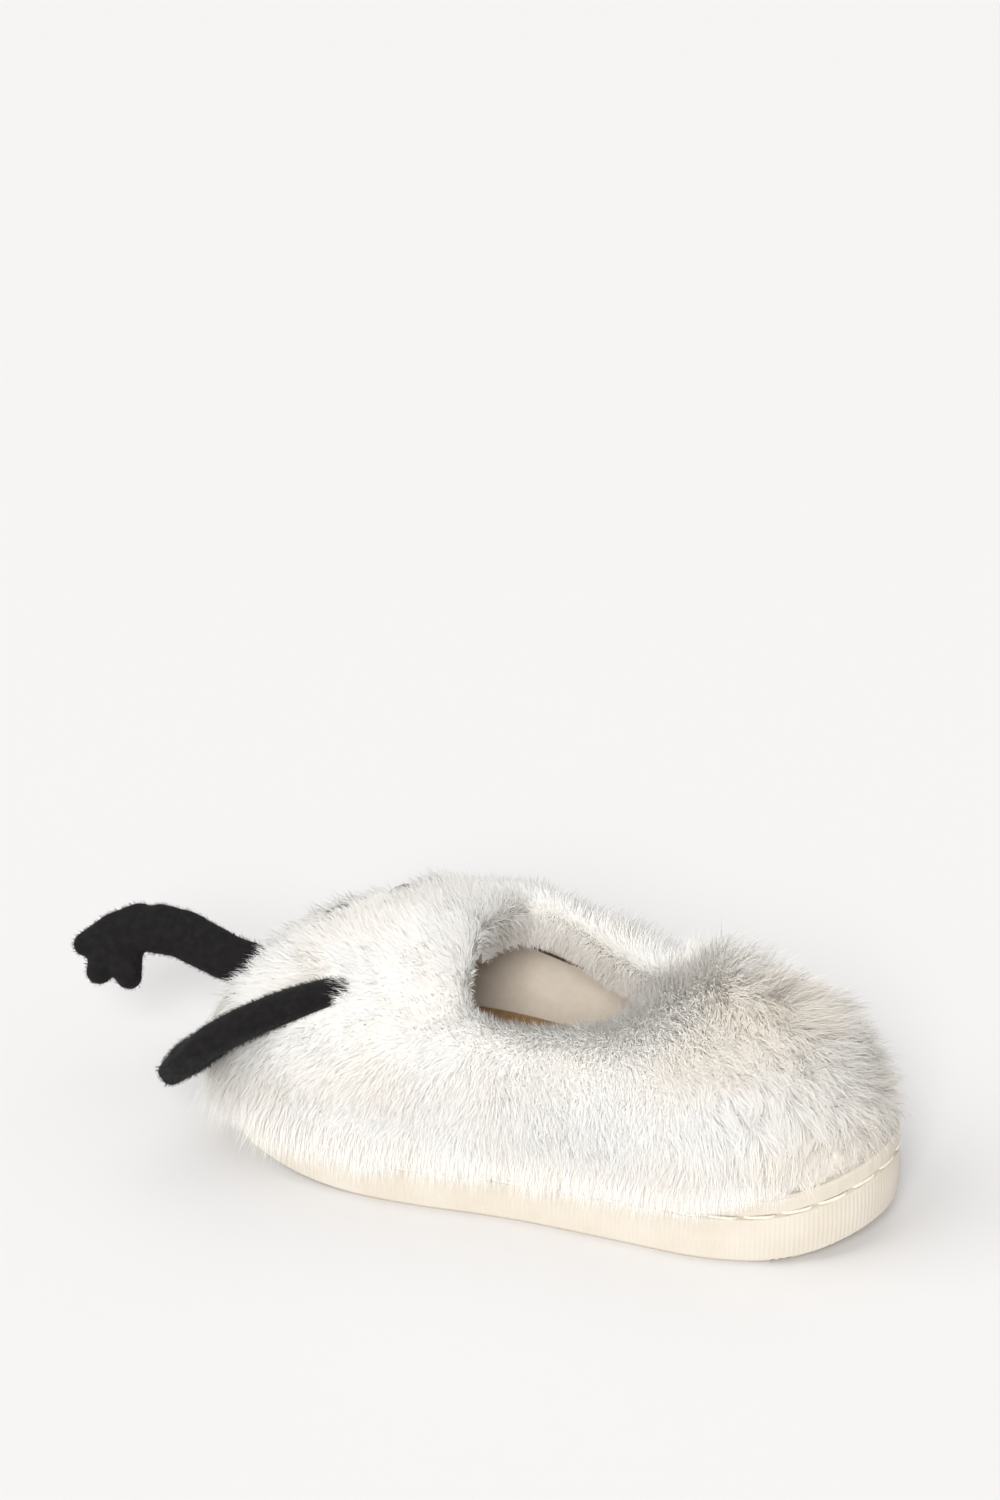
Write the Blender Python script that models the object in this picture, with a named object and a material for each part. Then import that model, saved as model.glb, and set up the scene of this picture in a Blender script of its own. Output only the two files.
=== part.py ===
"""Plush monster slipper for a child's right foot, at its real size in metres.

+X runs from the heel to the toes, +Y to the inner (medial) side, +Z up. The origin is on
the floor under the heel. Shapes are worked out from the back of the sole, and the whole
slipper is then set back by HEEL_REST. A turn runs from 0 at the back of the heel to 1 at
the tip of the toe, along either side of the foot.
"""
import math

import bmesh
import bpy
from mathutils import Matrix, Vector
from mathutils.bvhtree import BVHTree

# Sole
LENGTH = 0.180
BALL_WIDTH = 0.076
HEEL_REST = 0.040
HEEL_WALL = 0.019
TOE_WALL = 0.015
TOE_SPRING = 0.0076
TOE_SPRING_LENGTH = 0.058
HEEL_BEVEL = 0.0061
HEEL_BEVEL_LENGTH = 0.029
EDGE_CHAMFER = 0.0012
SIDE_SWELL = 0.0004
STITCH_GROOVE_DEPTH = 0.0009
STITCH_GROOVE_HEIGHT = 0.0012
STITCH_GROOVE_DROP = 0.0042
LIP_THICKNESS = 0.0026
LIP_ROUND = 0.0006
SEAT_DEPTH = 0.0040

# Tread
TREAD_DEPTH = 0.0015
TREAD_GROOVE = 0.0024
TREAD_PITCH = 0.0090
TREAD_BORDER = 0.0070
HEEL_TREAD = (0.0170, 0.0560)
FOREFOOT_TREAD = (0.0950, 0.1560)
NOTCH_DEPTH = 0.0011
NOTCH_WIDTH = 0.0010
NOTCH_PITCH = 0.0020
NOTCH_REACH = 0.0028
NOTCHES_IN_GROUP = 3
NOTCH_TURNS = (0.135, 0.215)

# Insole
INSOLE_THICKNESS = 0.0085
INSOLE_CUP = 0.0030
INSOLE_EDGE = 0.0030
INSOLE_CUP_WIDTH = 0.0080

# Upper
WALL = 0.0030
GAP = 0.0003
THROAT_HEIGHT = 0.0650
COLLAR_BACK = 0.0480
COLLAR_LENGTH = 0.0570
COLLAR_WIDTH = 0.0450
PLUSH_BULGE = 0.0055
BULGE_RISE = 0.75
PILE = 0.0046
PILE_LEAN = 0.0030
NAP = (-0.55, 0.0, -0.83)
SEAM_CLEAR = 0.0045

# Arms
ARM_LENGTH = 0.0548
ARM_WIDTH = 0.237 * ARM_LENGTH
ARM_THICKNESS = 0.131 * ARM_LENGTH
HAND_THICKNESS = 0.142 * ARM_LENGTH
FINGER_THICKNESS = 0.113 * ARM_LENGTH

# Eyes
EYE_RADIUS = 0.0050
EYE_HEIGHT = 0.0030

# Counts of faces round and along the forms
AROUND = 72
UPPER_ROWS = 11
INNER_ROWS = 7
ARM_SIDES = 16
BALL_SIDES = 14
BALL_RINGS = 8
EYE_SIDES = 24
EYE_RINGS = 12
ROW_CROWDING = 0.95
SAMPLE_STEP = 1 / 250
SHARP_DEGREES = 40

# Half widths of the sole as shares of BALL_WIDTH, before the ellipse that rounds both ends
OUTLINE = (
    ("turn", "medial", "lateral"),
    (0.0, 0.645, 0.645),
    (0.1, 0.632, 0.630),
    (0.2, 0.602, 0.578),
    (0.3, 0.547, 0.508),
    (0.4, 0.468, 0.452),
    (0.5, 0.444, 0.466),
    (0.6, 0.503, 0.538),
    (0.7, 0.570, 0.590),
    (0.8, 0.609, 0.592),
    (0.9, 0.603, 0.577),
    (1.0, 0.560, 0.560),
)

# Collar rim: along as shares of COLLAR_LENGTH, across of COLLAR_WIDTH, height of THROAT_HEIGHT
RIM = {
    "medial": (
        ("turn", "along", "across", "height"),
        (0.00, 0.000, -0.02, 0.905),
        (0.12, 0.005, 0.07, 0.890),
        (0.25, 0.090, 0.17, 0.840),
        (0.38, 0.310, 0.31, 0.790),
        (0.50, 0.620, 0.47, 0.770),
        (0.60, 0.840, 0.53, 0.780),
        (0.70, 1.000, 0.44, 0.835),
        (0.80, 1.060, 0.30, 0.910),
        (0.90, 1.080, 0.16, 0.970),
        (1.00, 1.075, 0.03, 1.000),
    ),
    "lateral": (
        ("turn", "along", "across", "height"),
        (0.00, 0.000, -0.02, 0.905),
        (0.12, 0.005, -0.10, 0.900),
        (0.25, 0.090, -0.18, 0.835),
        (0.38, 0.320, -0.30, 0.805),
        (0.50, 0.630, -0.42, 0.865),
        (0.60, 0.850, -0.47, 0.935),
        (0.70, 0.985, -0.42, 0.960),
        (0.80, 1.045, -0.28, 0.980),
        (0.90, 1.070, -0.12, 0.995),
        (1.00, 1.075, 0.03, 1.000),
    ),
}

# How the wall climbs from the sole to the rim: lean is the power of the climb, more than 1
# for a wall that leans in early, and each bulge is a share of PLUSH_BULGE
PROFILE = (
    ("turn", "lean", "medial", "lateral"),
    (0.00, 1.85, 0.00, 0.00),
    (0.12, 1.75, 0.05, 0.05),
    (0.25, 1.45, 0.35, 0.35),
    (0.38, 1.10, 0.85, 0.80),
    (0.50, 1.00, 1.00, 1.00),
    (0.57, 1.00, 0.72, 0.85),
    (0.65, 1.00, 1.10, 1.10),
    (0.80, 1.05, 0.90, 0.90),
    (1.00, 1.40, 0.90, 0.90),
)

# Arm from its root at 0: along and across as shares of ARM_LENGTH, half width of ARM_WIDTH
ARM_SHAFT = (
    ("along", "across", "half_width"),
    (0.00, 0.000, 0.47),
    (0.21, -0.015, 0.50),
    (0.47, 0.000, 0.53),
    (0.64, -0.030, 0.55),
    (0.76, -0.095, 0.50),
    (0.82, -0.150, 0.36),
)

# Palm and the three stub fingers, as rounded pads on the shaft's end
HAND = (
    ("along", "across", "radius"),
    (0.785, -0.150, 0.58),
    (0.930, -0.230, 0.26),
    (0.812, -0.325, 0.27),
    (0.655, -0.290, 0.27),
)

# Each arm's root as shares of LENGTH, BALL_WIDTH and THROAT_HEIGHT, the angles in degrees
# that aim and bend it, and how far its base reaches back as a share of ARM_LENGTH
ARMS = {
    "arm_medial": {"root": (0.7756, 0.3211, 0.7769), "heading": 17.7, "pitch": -17.0,
                   "roll": 25.0, "droop": 24.6, "base": -0.08},
    "arm_lateral": {"root": (0.9428, 0.0066, 0.6062), "heading": -8.0, "pitch": 9.4,
                    "roll": 121.0, "droop": 0.0, "base": -0.34},
}

# Where each eye sits, as shares of LENGTH and BALL_WIDTH
EYES = {
    "eye_medial": (0.8444, -0.0789),
    "eye_lateral": (0.7694, -0.2500),
}

COLOURS = {
    "outsole": ((0.86, 0.77, 0.64), 0.62),
    "insole": ((0.46, 0.31, 0.16), 0.90),
    "upper": ((0.93, 0.91, 0.87), 0.95),
    "arm": ((0.012, 0.011, 0.011), 0.92),
    "eye": ((0.020, 0.024, 0.040), 0.15),
}


def clear_scene():
    for item in list(bpy.data.objects):
        bpy.data.objects.remove(item, do_unlink=True)


def smooth_value(table, column, key_column, at):
    """Value of a column on a smooth curve through its rows, read at a key."""
    names = table[0]
    key_index = names.index(key_column)
    index = names.index(column)
    keys = [row[key_index] for row in table[1:]]
    values = [row[index] for row in table[1:]]
    at = min(max(at, keys[0]), keys[-1])
    span = 0
    while span < len(keys) - 2 and at > keys[span + 1]:
        span += 1

    def slope(place):
        low = max(place - 1, 0)
        high = min(place + 1, len(keys) - 1)
        return (values[high] - values[low]) / (keys[high] - keys[low])

    width = keys[span + 1] - keys[span]
    share = (at - keys[span]) / width
    square = share * share
    cube = square * share
    start = (2 * cube - 3 * square + 1) * values[span]
    start_slope = (cube - 2 * square + share) * width * slope(span)
    end = (3 * square - 2 * cube) * values[span + 1]
    end_slope = (cube - square) * width * slope(span + 1)
    return start + start_slope + end + end_slope


def side_of(angle):
    """Side of the foot and turn for an angle round it, 0 at the heel and pi at the toe."""
    angle = angle % (2 * math.pi)
    if angle <= math.pi:
        return "medial", angle / math.pi
    return "lateral", (2 * math.pi - angle) / math.pi


def edge_point(angle):
    """Point of the sole's outline, seen from above."""
    side, turn = side_of(angle)
    sign = 1 if side == "medial" else -1
    fullness = smooth_value(OUTLINE, side, "turn", turn)
    along = LENGTH * (1 - math.cos(math.pi * turn)) / 2
    across = sign * fullness * BALL_WIDTH * math.sin(math.pi * turn)
    return Vector((along, across, 0))


def edge_normal(angle):
    """Outward direction of the sole's outline, level with the floor."""
    step = math.pi / AROUND
    run = edge_point(angle + step) - edge_point(angle - step)
    return Vector((-run.y, run.x, 0)).normalized()


def inset_point(angle, inset):
    return edge_point(angle) - edge_normal(angle) * inset


def ground(along):
    """Height of the sole's underside, with its toe spring and heel bevel."""
    toe = max(0.0, along - (LENGTH - TOE_SPRING_LENGTH)) / TOE_SPRING_LENGTH
    heel = max(0.0, HEEL_BEVEL_LENGTH - along) / HEEL_BEVEL_LENGTH
    return TOE_SPRING * toe ** 2 + HEEL_BEVEL * heel ** 2


def lip_top(along):
    """Height of the sole's top edge."""
    share = min(max(along / LENGTH, 0.0), 1.0)
    ease = 1 - (1 - share) ** 2
    return ground(along) + HEEL_WALL + (TOE_WALL - HEEL_WALL) * ease


def seat_height(along):
    """Height of the ledge inside the lip, where upper and insole rest."""
    return lip_top(along) - SEAT_DEPTH


def add_ring(mesh, points):
    return [mesh.verts.new(point) for point in points]


def join_rings(mesh, lower, upper):
    """Band of four-sided faces between two rings that run round the foot."""
    count = len(lower)
    faces = []
    for place in range(count):
        following = (place + 1) % count
        corners = (lower[following], lower[place], upper[place], upper[following])
        faces.append(mesh.faces.new(corners))
    return faces


def fill_across(mesh, ring):
    """Floor or lid over a ring, in strips from the medial to the lateral side."""
    count = len(ring)
    half = count // 2
    for place in range(half):
        corners = [ring[place], ring[place + 1], ring[-place - 1], ring[-place]]
        if place == 0:
            corners = [ring[0], ring[1], ring[-1]]
        if place == half - 1:
            corners = [ring[place], ring[half], ring[-place]]
        mesh.faces.new(corners)


def make_object(name, mesh, look):
    """Object with its own material from a finished mesh, hung on the slipper."""
    bmesh.ops.recalc_face_normals(mesh, faces=mesh.faces)
    data = bpy.data.meshes.new(name)
    mesh.to_mesh(data)
    mesh.free()
    item = bpy.data.objects.new(name, data)
    bpy.context.scene.collection.objects.link(item)
    if look:
        colour, roughness = COLOURS[look]
        material = bpy.data.materials.new(name)
        material.use_nodes = True
        shader = material.node_tree.nodes["Principled BSDF"]
        shader.inputs["Base Color"].default_value = (*colour, 1)
        shader.inputs["Roughness"].default_value = roughness
        data.materials.append(material)
    item.parent = bpy.data.objects["slipper"]
    return item


def make_cutter(name, mesh):
    """Guide solid, which only trims or joins other pieces."""
    item = make_object(name, mesh, None)
    item.hide_render = True
    item.display_type = "WIRE"
    return item


def add_boolean(item, other, operation):
    step = item.modifiers.new(other.name, "BOOLEAN")
    step.operation = operation
    step.solver = "EXACT"
    step.object = other


def smooth_shade(item):
    item.data.shade_smooth()
    item.data.set_sharp_from_angle(angle=math.radians(SHARP_DEGREES))


# Outsole
def sole_section(along):
    """Inset from the outline and height of each edge of the sole, from below to the seat."""
    low = ground(along)
    top = lip_top(along)
    groove_top = top - STITCH_GROOVE_DROP
    groove_foot = groove_top - STITCH_GROOVE_HEIGHT
    middle = (low + groove_foot) / 2
    return (
        (EDGE_CHAMFER, low),
        (0.0, low + EDGE_CHAMFER),
        (-SIDE_SWELL, middle),
        (0.0, groove_foot),
        (STITCH_GROOVE_DEPTH, groove_foot + STITCH_GROOVE_HEIGHT / 4),
        (STITCH_GROOVE_DEPTH, groove_top - STITCH_GROOVE_HEIGHT / 4),
        (0.0, groove_top),
        (0.0, top - LIP_ROUND),
        (LIP_ROUND, top),
        (LIP_THICKNESS - LIP_ROUND, top),
        (LIP_THICKNESS, top - LIP_ROUND),
        (LIP_THICKNESS, top - SEAT_DEPTH),
    )


def add_box(mesh, centre, size, angle):
    place = Matrix.Translation(centre) @ Matrix.Rotation(angle, 4, "Z")
    made = bmesh.ops.create_cube(mesh, size=1.0, matrix=place @ Matrix.Diagonal((*size, 1)))
    return made["verts"]


def tread_cutter():
    """Grooves between the tread bars, and the small notches round the heel's edge."""
    mesh = bmesh.new()
    height = 2 * TREAD_DEPTH
    for start, end in (HEEL_TREAD, FOREFOOT_TREAD):
        count = int((end - start) / TREAD_PITCH) + 1
        for number in range(count):
            along = start + number * TREAD_PITCH
            angle = math.acos(1 - 2 * along / LENGTH)
            inner = edge_point(angle).y - TREAD_BORDER
            outer = edge_point(-angle).y + TREAD_BORDER
            centre = Vector((along, (inner + outer) / 2, ground(along)))
            add_box(mesh, centre, (TREAD_GROOVE, inner - outer, height), 0.0)
    for turn in NOTCH_TURNS:
        for side in (1, -1):
            for number in range(NOTCHES_IN_GROUP):
                angle = side * math.pi * turn
                middle = (NOTCHES_IN_GROUP - 1) / 2
                run = edge_normal(angle).cross(Vector((0, 0, 1)))
                centre = edge_point(angle) + run * (number - middle) * NOTCH_PITCH
                centre.z = ground(centre.x)
                out = edge_normal(angle)
                size = (2 * NOTCH_REACH, NOTCH_WIDTH, 2 * NOTCH_DEPTH)
                add_box(mesh, centre, size, math.atan2(out.y, out.x))
    return make_cutter("tread_grooves", mesh)


def make_outsole():
    mesh = bmesh.new()
    angles = [2 * math.pi * place / AROUND for place in range(AROUND)]
    sections = [sole_section(edge_point(angle).x) for angle in angles]
    rings = []
    for row in range(len(sections[0])):
        points = []
        for angle, section in zip(angles, sections):
            inset, height = section[row]
            point = inset_point(angle, inset)
            point.z = height
            points.append(point)
        rings.append(add_ring(mesh, points))
    for lower, upper in zip(rings, rings[1:]):
        join_rings(mesh, lower, upper)
    fill_across(mesh, rings[0])
    fill_across(mesh, rings[-1])
    item = make_object("outsole", mesh, "outsole")
    add_boolean(item, tread_cutter(), "DIFFERENCE")
    smooth_shade(item)


# Insole
def wall_inset(angle, height):
    """How far in from the sole's outline the upper's lining is at a height."""
    lining = []
    for climb in [-1.0] + row_climbs(INNER_ROWS):
        lining.append(upper_point(angle, climb) - upper_normal(angle, climb) * (WALL + GAP))
    row = 0
    while lining[row + 1].z < height:
        row += 1
    low, high = lining[row], lining[row + 1]
    point = low.lerp(high, (height - low.z) / (high.z - low.z))
    return (edge_point(angle) - point).dot(edge_normal(angle))


def make_insole():
    """Padded footbed with a raised edge, lying on the seat inside the upper's wall."""
    mesh = bmesh.new()
    clear = LIP_THICKNESS + GAP + WALL + GAP
    edge_rise = INSOLE_THICKNESS + INSOLE_CUP
    side_rises = (0.0, SEAT_DEPTH / 2, SEAT_DEPTH, (SEAT_DEPTH + edge_rise) / 2, edge_rise)
    bed = (
        (INSOLE_CUP_WIDTH / 2, INSOLE_THICKNESS + INSOLE_CUP / 3),
        (INSOLE_CUP_WIDTH, INSOLE_THICKNESS),
    )
    rings = [[] for _ in side_rises + bed]
    for place in range(AROUND):
        angle = 2 * math.pi * place / AROUND
        seat = seat_height(edge_point(angle).x) + GAP
        levels = []
        for rise in side_rises:
            slope = max(rise - SEAT_DEPTH, 0.0) / (edge_rise - SEAT_DEPTH) * INSOLE_EDGE
            levels.append((max(clear + slope, wall_inset(angle, seat + rise) + GAP), rise))
        edge = levels[-1][0]
        levels += [(edge + inset, rise) for inset, rise in bed]
        for ring, (inset, rise) in zip(rings, levels):
            point = inset_point(angle, inset)
            point.z = seat + rise
            ring.append(point)
    rings = [add_ring(mesh, ring) for ring in rings]
    for lower, upper in zip(rings, rings[1:]):
        join_rings(mesh, lower, upper)
    fill_across(mesh, rings[0])
    fill_across(mesh, rings[-1])
    item = make_object("insole", mesh, "insole")
    smooth_shade(item)


# Upper
def rim_point(angle):
    """Point of the collar's rim that the wall over this part of the sole climbs to."""
    side, turn = side_of(angle)
    table = RIM[side]
    along = smooth_value(table, "along", "turn", turn) * COLLAR_LENGTH
    across = smooth_value(table, "across", "turn", turn) * COLLAR_WIDTH
    height = smooth_value(table, "height", "turn", turn) * THROAT_HEIGHT
    return Vector((COLLAR_BACK + along, across, height))


def upper_point(angle, climb):
    """Outside of the upper: -1 is its lower edge, 0 is just over the lip, 1 is the rim."""
    side, turn = side_of(angle)
    foot = inset_point(angle, LIP_THICKNESS + GAP)
    along = edge_point(angle).x
    foot.z = lip_top(along) + GAP
    if climb < 0:
        foot.z += climb * SEAT_DEPTH
        return foot
    rim = rim_point(angle)
    quarter = climb * math.pi / 2
    lean = smooth_value(PROFILE, "lean", "turn", turn)
    bulge = smooth_value(PROFILE, side, "turn", turn) * PLUSH_BULGE
    point = foot.lerp(rim, 1 - math.cos(quarter))
    point += edge_normal(angle) * bulge * math.sin(math.pi * climb ** BULGE_RISE)
    point.z = foot.z + (rim.z - foot.z) * math.sin(quarter) ** lean
    return point


def upper_normal(angle, climb):
    if climb < 0:
        return edge_normal(angle)
    low = max(climb - SAMPLE_STEP, 0.0)
    high = min(climb + SAMPLE_STEP, 1.0)
    run = upper_point(angle + SAMPLE_STEP, climb) - upper_point(angle - SAMPLE_STEP, climb)
    rise = upper_point(angle, high) - upper_point(angle, low)
    return rise.cross(run).normalized()


def upper_ring(climb, out):
    """Ring round the upper at one climb, moved out from its surface."""
    points = []
    for place in range(AROUND):
        angle = 2 * math.pi * place / AROUND
        points.append(upper_point(angle, climb) + upper_normal(angle, climb) * out)
    return points


def rim_roll():
    """Ring that rounds the collar's edge, halfway through the wall."""
    points = []
    for place in range(AROUND):
        angle = 2 * math.pi * place / AROUND
        edge = upper_point(angle, 1.0)
        inward = (edge - upper_point(angle, 1.0 - SAMPLE_STEP)).normalized()
        points.append(edge + inward * WALL / 3 - upper_normal(angle, 1.0) * WALL / 2)
    return points


def row_climbs(count):
    """Climbs of the rows, closer together where the wall turns over to the rim."""
    return [(row / count) ** ROW_CROWDING for row in range(count + 1)]


def make_core():
    """Closed form of the upper's outside plus the gap, which trims what is sewn to it."""
    mesh = bmesh.new()
    climbs = [-1.0] + row_climbs(UPPER_ROWS)
    rings = [add_ring(mesh, upper_ring(climb, GAP)) for climb in climbs]
    for lower, upper in zip(rings, rings[1:]):
        join_rings(mesh, lower, upper)
    fill_across(mesh, rings[0])
    fill_across(mesh, rings[-1])
    return make_cutter("upper_core", mesh)


def arm_frame(name):
    """Root, forward, across and upward directions of an arm."""
    place = ARMS[name]
    heading = math.radians(place["heading"])
    pitch = math.radians(place["pitch"])
    roll = math.radians(place["roll"])
    forward = Vector((
        math.cos(pitch) * math.cos(heading),
        math.cos(pitch) * math.sin(heading),
        math.sin(pitch),
    ))
    level = Vector((-math.sin(heading), math.cos(heading), 0))
    over = forward.cross(level)
    across = level * math.cos(roll) + over * math.sin(roll)
    upward = over * math.cos(roll) - level * math.sin(roll)
    along, aside, height = place["root"]
    root = Vector((along * LENGTH, aside * BALL_WIDTH, height * THROAT_HEIGHT))
    return root, forward, across, upward


def arm_point(name, along, across, out):
    """Point of an arm that bends down on an arc from its root."""
    root, forward, side, upward = arm_frame(name)
    bend = math.radians(ARMS[name]["droop"]) / ARM_LENGTH
    turn = bend * max(along, 0.0)
    if turn > 0:
        centre = root + forward * math.sin(turn) / bend - upward * (1 - math.cos(turn)) / bend
    else:
        centre = root + forward * along
    lifted = upward * math.cos(turn) + forward * math.sin(turn)
    return centre + side * across + lifted * out


def clear_spots(eye_spots):
    """Middles of what is sewn to the upper, each with the radius kept free of locks."""
    spots = [(spot, EYE_RADIUS + SEAM_CLEAR) for spot in eye_spots]
    for name, place in ARMS.items():
        start = place["base"] * ARM_LENGTH
        count = math.ceil((ARM_LENGTH - start) / (ARM_WIDTH / 3))
        for step in range(count + 1):
            along = start + (ARM_LENGTH - start) * step / count
            spots.append((arm_point(name, along, 0.0, 0.0), ARM_WIDTH / 2 + SEAM_CLEAR))
        for along, across, radius in HAND[1:]:
            spot = arm_point(name, along * ARM_LENGTH, across * ARM_LENGTH, 0.0)
            spots.append((spot, radius * ARM_WIDTH + SEAM_CLEAR))
    return spots


def make_upper(eye_spots):
    """Hollow plush upper: one wall, open at the collar and underneath, with locks of pile."""
    mesh = bmesh.new()
    outer_climbs = row_climbs(UPPER_ROWS)
    rings = [add_ring(mesh, upper_ring(-1.0, 0.0))]
    rings += [add_ring(mesh, upper_ring(climb, 0.0)) for climb in outer_climbs]
    rings.append(add_ring(mesh, rim_roll()))
    inner_climbs = row_climbs(INNER_ROWS)
    rings += [add_ring(mesh, upper_ring(climb, -WALL)) for climb in reversed(inner_climbs)]
    rings.append(add_ring(mesh, upper_ring(-1.0, -WALL)))
    bands = [join_rings(mesh, low, high) for low, high in zip(rings, rings[1:] + rings[:1])]
    locks = [face for band in bands[2:UPPER_ROWS + 1] for face in band]
    clear = clear_spots(eye_spots)
    for face in locks:
        middle = face.calc_center_median()
        tip = lock_tip(face, middle)
        if all(min((place - spot).length for place in (middle, tip)) > radius
               for spot, radius in clear):
            raise_lock(mesh, face, tip)
    item = make_object("upper", mesh, "upper")
    smooth_shade(item)


def lock_tip(face, middle):
    """Point that a lock of pile reaches over one face, leaning back and down along the nap."""
    face.normal_update()
    nap = Vector(NAP)
    nap -= face.normal * nap.dot(face.normal)
    return middle + face.normal * PILE + nap * PILE_LEAN


def raise_lock(mesh, face, tip):
    top = mesh.verts.new(tip)
    corners = list(face.verts)
    mesh.faces.remove(face)
    for place, corner in enumerate(corners):
        mesh.faces.new((corner, corners[(place + 1) % len(corners)], top))


# Arms
def pad_cutter(arm, number, along, across, radius, thickness):
    """Flat rounded pad in the arm's own plane, joined to its shaft."""
    mesh = bmesh.new()
    bmesh.ops.create_uvsphere(mesh, u_segments=BALL_SIDES, v_segments=BALL_RINGS, radius=1.0)
    for vertex in mesh.verts:
        x, y, z = vertex.co
        vertex.co = arm_point(arm, along + x * radius, across + y * radius, z * thickness / 2)
    return make_cutter(f"{arm}_pad_{number}", mesh)


def make_arm(name, core):
    """Stuffed flat arm with a palm and three stub fingers, trimmed where it meets the head."""
    mesh = bmesh.new()
    rings = []
    base = (ARMS[name]["base"], *ARM_SHAFT[1][1:])
    for row in (base, *ARM_SHAFT[1:]):
        along = row[0] * ARM_LENGTH
        across = row[1] * ARM_LENGTH
        half_width = row[2] * ARM_WIDTH
        points = []
        for corner in range(ARM_SIDES):
            angle = 2 * math.pi * corner / ARM_SIDES
            side = across + half_width * math.cos(angle)
            out = ARM_THICKNESS / 2 * math.sin(angle)
            points.append(arm_point(name, along, side, out))
        rings.append(add_ring(mesh, points))
    for lower, upper in zip(rings, rings[1:]):
        join_rings(mesh, lower, upper)
    mesh.faces.new(rings[0])
    mesh.faces.new(rings[-1])
    item = make_object(name, mesh, "arm")
    for number, (along, across, radius) in enumerate(HAND[1:]):
        thickness = HAND_THICKNESS if number == 0 else FINGER_THICKNESS
        pad = pad_cutter(name, number, along * ARM_LENGTH, across * ARM_LENGTH,
                         radius * ARM_WIDTH, thickness)
        add_boolean(item, pad, "UNION")
    add_boolean(item, core, "DIFFERENCE")
    smooth_shade(item)


# Eyes
def eye_spot(tree, along, across):
    """Point and outward direction of the head's surface under an eye."""
    above = Vector((along * LENGTH, across * BALL_WIDTH, 2 * THROAT_HEIGHT))
    hit, normal, _, _ = tree.ray_cast(above, Vector((0, 0, -1)))
    return hit, normal


def make_eye(name, spot, normal, core):
    """Low dome that lies on the head, its back trimmed to the head's curve."""
    mesh = bmesh.new()
    bmesh.ops.create_uvsphere(mesh, u_segments=EYE_SIDES, v_segments=EYE_RINGS, radius=1.0)
    turn = Vector((0, 0, 1)).rotation_difference(normal).to_matrix()
    for vertex in mesh.verts:
        x, y, z = vertex.co
        local = Vector((x * EYE_RADIUS, y * EYE_RADIUS, z * EYE_HEIGHT))
        vertex.co = spot + turn @ local
    item = make_object(name, mesh, "eye")
    add_boolean(item, core, "DIFFERENCE")
    smooth_shade(item)


def main():
    clear_scene()
    slipper = bpy.data.objects.new("slipper", None)
    slipper.location.x = -HEEL_REST
    bpy.context.scene.collection.objects.link(slipper)
    make_outsole()
    make_insole()
    core = make_core()
    corners = [vertex.co.copy() for vertex in core.data.vertices]
    tree = BVHTree.FromPolygons(corners, [tuple(face.vertices) for face in core.data.polygons])
    spots = {name: eye_spot(tree, *place) for name, place in EYES.items()}
    make_upper([spot for spot, _ in spots.values()])
    for name in ARMS:
        make_arm(name, core)
    for name, (spot, normal) in spots.items():
        make_eye(name, spot, normal, core)


main()
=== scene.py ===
"""Looks of a child's plush monster slipper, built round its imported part.

Everything is in metres in the part's frame: +X from the heel to the toes, +Y to the inner
(medial) side, +Z up, the origin on the floor under the heel. The form of the sole and the
upper is worked out with the part's own sizes and tables. A turn runs from 0 at the back of
the heel to 1 at the tip of the toe, and a climb from 0 at the sole's lip to 1 at the rim.
"""
import math

import bmesh
import bpy
import numpy as np
from mathutils import Matrix, Vector
from mathutils.kdtree import KDTree


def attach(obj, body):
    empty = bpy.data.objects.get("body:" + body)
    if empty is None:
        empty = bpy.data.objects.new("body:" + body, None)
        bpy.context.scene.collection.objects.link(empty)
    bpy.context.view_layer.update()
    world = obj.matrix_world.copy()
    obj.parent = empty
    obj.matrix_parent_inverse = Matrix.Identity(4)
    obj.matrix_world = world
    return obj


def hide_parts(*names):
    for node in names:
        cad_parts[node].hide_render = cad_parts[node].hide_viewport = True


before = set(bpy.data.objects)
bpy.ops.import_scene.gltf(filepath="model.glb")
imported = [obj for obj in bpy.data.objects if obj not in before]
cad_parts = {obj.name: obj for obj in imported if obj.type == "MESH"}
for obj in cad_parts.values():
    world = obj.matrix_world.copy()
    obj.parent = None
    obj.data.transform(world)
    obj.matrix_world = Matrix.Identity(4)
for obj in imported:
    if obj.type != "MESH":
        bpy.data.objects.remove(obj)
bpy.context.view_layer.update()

# Sizes of the part
LENGTH = 0.180
BALL_WIDTH = 0.076
HEEL_REST = 0.040
HEEL_WALL = 0.019
TOE_WALL = 0.015
TOE_SPRING = 0.0076
TOE_SPRING_LENGTH = 0.058
HEEL_BEVEL = 0.0061
HEEL_BEVEL_LENGTH = 0.029
EDGE_CHAMFER = 0.0012
SIDE_SWELL = 0.0004
GROOVE_DEPTH = 0.0009
GROOVE_HEIGHT = 0.0012
GROOVE_DROP = 0.0042
LIP_THICKNESS = 0.0026
SEAT_DEPTH = 0.0040
INSOLE_THICKNESS = 0.0085
INSOLE_CUP = 0.0030
INSOLE_CUP_WIDTH = 0.0110
WALL = 0.0030
GAP = 0.0003
THROAT_HEIGHT = 0.0650
COLLAR_BACK = 0.0480
COLLAR_LENGTH = 0.0570
COLLAR_WIDTH = 0.0450
PLUSH_BULGE = 0.0055
BULGE_RISE = 0.75
ARM_LENGTH = 0.0548
ARM_WIDTH = 0.237 * ARM_LENGTH
ARM_THICKNESS = 0.131 * ARM_LENGTH
HAND_THICKNESS = 0.142 * ARM_LENGTH
FINGER_THICKNESS = 0.113 * ARM_LENGTH

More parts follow.
